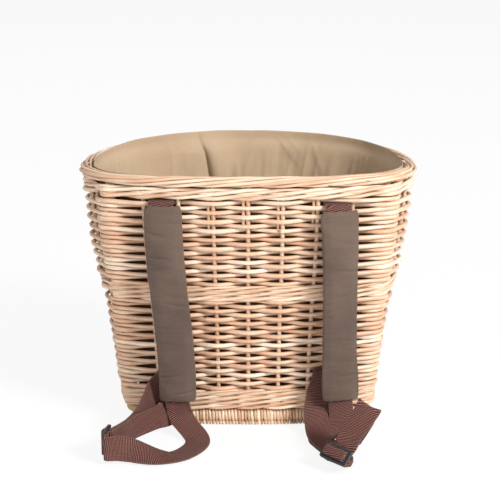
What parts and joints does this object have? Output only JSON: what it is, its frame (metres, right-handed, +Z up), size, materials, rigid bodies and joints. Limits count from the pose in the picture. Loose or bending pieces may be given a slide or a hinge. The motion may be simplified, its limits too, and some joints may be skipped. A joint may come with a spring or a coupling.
{
  "type": "pack basket",
  "caption": "Woven willow pack basket with a flat back, rolled border, cloth liner, and padded webbing shoulder straps with sliders.",
  "frame": {"origin": "middle of the base's underside, on the floor", "axes": "+Z up, +Y towards the round front, -Y towards the flat back panel with the straps, +X to the right seen from behind the back panel"},
  "size_m": [0.4058, 0.3951, 0.3281],
  "materials": {
    "woven_willow": "peeled buff willow, slightly glossy",
    "waling_willow": "peeled buff willow, slightly glossy",
    "stake_willow": "peeled buff willow",
    "post_willow": "thick peeled willow stick",
    "base_stick_willow": "thick willow stick, matte",
    "base_weaver_willow": "split willow, matte",
    "liner_cotton": "plain woven khaki cotton",
    "strap_webbing": "ribbed dark red-brown webbing",
    "pad_cloth": "taupe cloth over foam",
    "slider_plastic": "glossy black moulded plastic"
  },
  "bodies": {
    "basket": {"bottom_wale": "waling_willow", "lower_randing": "woven_willow", "middle_wale": "waling_willow", "upper_randing": "woven_willow", "top_wale": "waling_willow", "corner_post_left": "post_willow", "back_stake_1": "stake_willow", "back_stake_2": "stake_willow", "back_stake_3": "stake_willow", "back_stake_4": "stake_willow", "back_stake_5": "stake_willow", "back_stake_6": "stake_willow", "back_stake_7": "stake_willow", "corner_post_right": "post_willow", "front_stake_1": "stake_willow", "front_stake_2": "stake_willow", "front_stake_3": "stake_willow", "front_stake_4": "stake_willow", "front_stake_5": "stake_willow", "front_stake_6": "stake_willow", "front_stake_7": "stake_willow", "front_stake_8": "stake_willow", "front_stake_9": "stake_willow", "front_stake_10": "stake_willow", "front_stake_11": "stake_willow", "front_stake_12": "stake_willow", "front_stake_13": "stake_willow", "front_stake_14": "stake_willow", "front_stake_15": "stake_willow", "front_stake_16": "stake_willow", "base_hoop": "base_stick_willow", "base_stick_1": "base_stick_willow", "base_stick_2": "base_stick_willow", "base_stick_3": "base_stick_willow", "base_stick_4": "base_stick_willow", "base_weave": "base_weaver_willow", "liner_wall": "liner_cotton", "liner_bottom": "liner_cotton", "webbing_left": "strap_webbing", "webbing_right": "strap_webbing"},
    "pad_left": {"pad_left": "pad_cloth"},
    "pad_right": {"pad_right": "pad_cloth"},
    "slider_left": {"slider_left": "slider_plastic"},
    "slider_right": {"slider_right": "slider_plastic"}
  },
  "joints": [
    {"name": "pad_left_slide", "type": "slide", "parent": "basket", "child": "pad_left", "axis": [-0.0756, -0.0589, 0.9954], "range_m": [-0.012, 0.004], "deforming": ["webbing_left"]},
    {"name": "slider_left_slide", "type": "slide", "parent": "basket", "child": "slider_left", "axis": [0.2496, 0.9684, 0], "range_m": [-0.012, 0.03], "deforming": ["webbing_left"]},
    {"name": "pad_right_slide", "type": "slide", "parent": "basket", "child": "pad_right", "axis": [-0.023, -0.0725, 0.9971], "range_m": [-0.012, 0.004], "deforming": ["webbing_right"]},
    {"name": "slider_right_slide", "type": "slide", "parent": "basket", "child": "slider_right", "axis": [0.5351, 0.4901, 0.6881], "range_m": [0, 0.03], "deforming": ["webbing_right"]}
  ]
}
